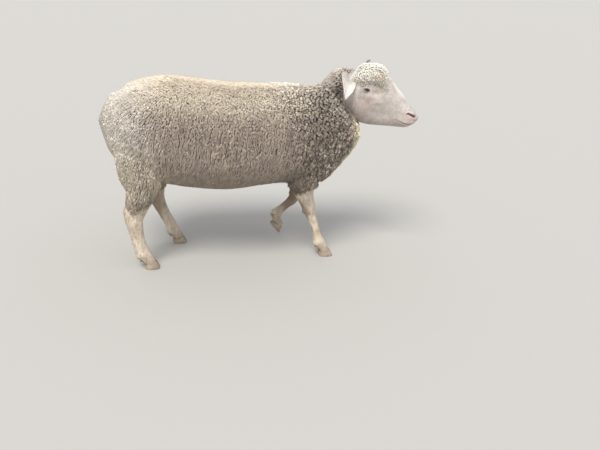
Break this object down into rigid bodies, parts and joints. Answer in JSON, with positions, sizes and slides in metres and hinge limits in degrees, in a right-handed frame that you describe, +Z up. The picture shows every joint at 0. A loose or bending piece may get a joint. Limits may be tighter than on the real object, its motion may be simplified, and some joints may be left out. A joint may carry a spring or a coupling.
{
  "type": "walking merino sheep model",
  "caption": "Life-size walking Merino sheep with a close-set short fleece, bare face, drooping ears, short tail and cloven hooves, for display on a floor.",
  "frame": {"origin": "centre of the bounding box at floor level, between the feet", "axes": "+X towards the sheep's head, +Y towards its left side, +Z up"},
  "size_m": [1.122, 0.442, 0.7358],
  "materials": {
    "fleece": "matte, greyish-cream short wool with darker gaps",
    "short_hair": "matte, short flat white hair over pink skin",
    "eye": "wet gloss, dark brown",
    "horn": "matte, grey-brown hoof horn"
  },
  "bodies": {
    "root": {"torso": "fleece", "neck": "fleece", "tail": "fleece", "hind_thigh_right": "fleece", "hind_thigh_left": "fleece", "head": "short_hair", "ear_right": "short_hair", "ear_left": "short_hair", "fore_arm_right": "short_hair", "fore_arm_left": "short_hair", "hind_shank_right": "short_hair", "hind_shank_left": "short_hair", "fore_shank_right": "short_hair", "fore_shank_left": "short_hair", "eye_right": "eye", "eye_left": "eye", "claw_hind_right_outer": "horn", "claw_hind_right_inner": "horn", "claw_hind_left_outer": "horn", "claw_hind_left_inner": "horn", "claw_fore_right_outer": "horn", "claw_fore_right_inner": "horn", "claw_fore_left_outer": "horn", "claw_fore_left_inner": "horn"}
  },
  "joints": []
}
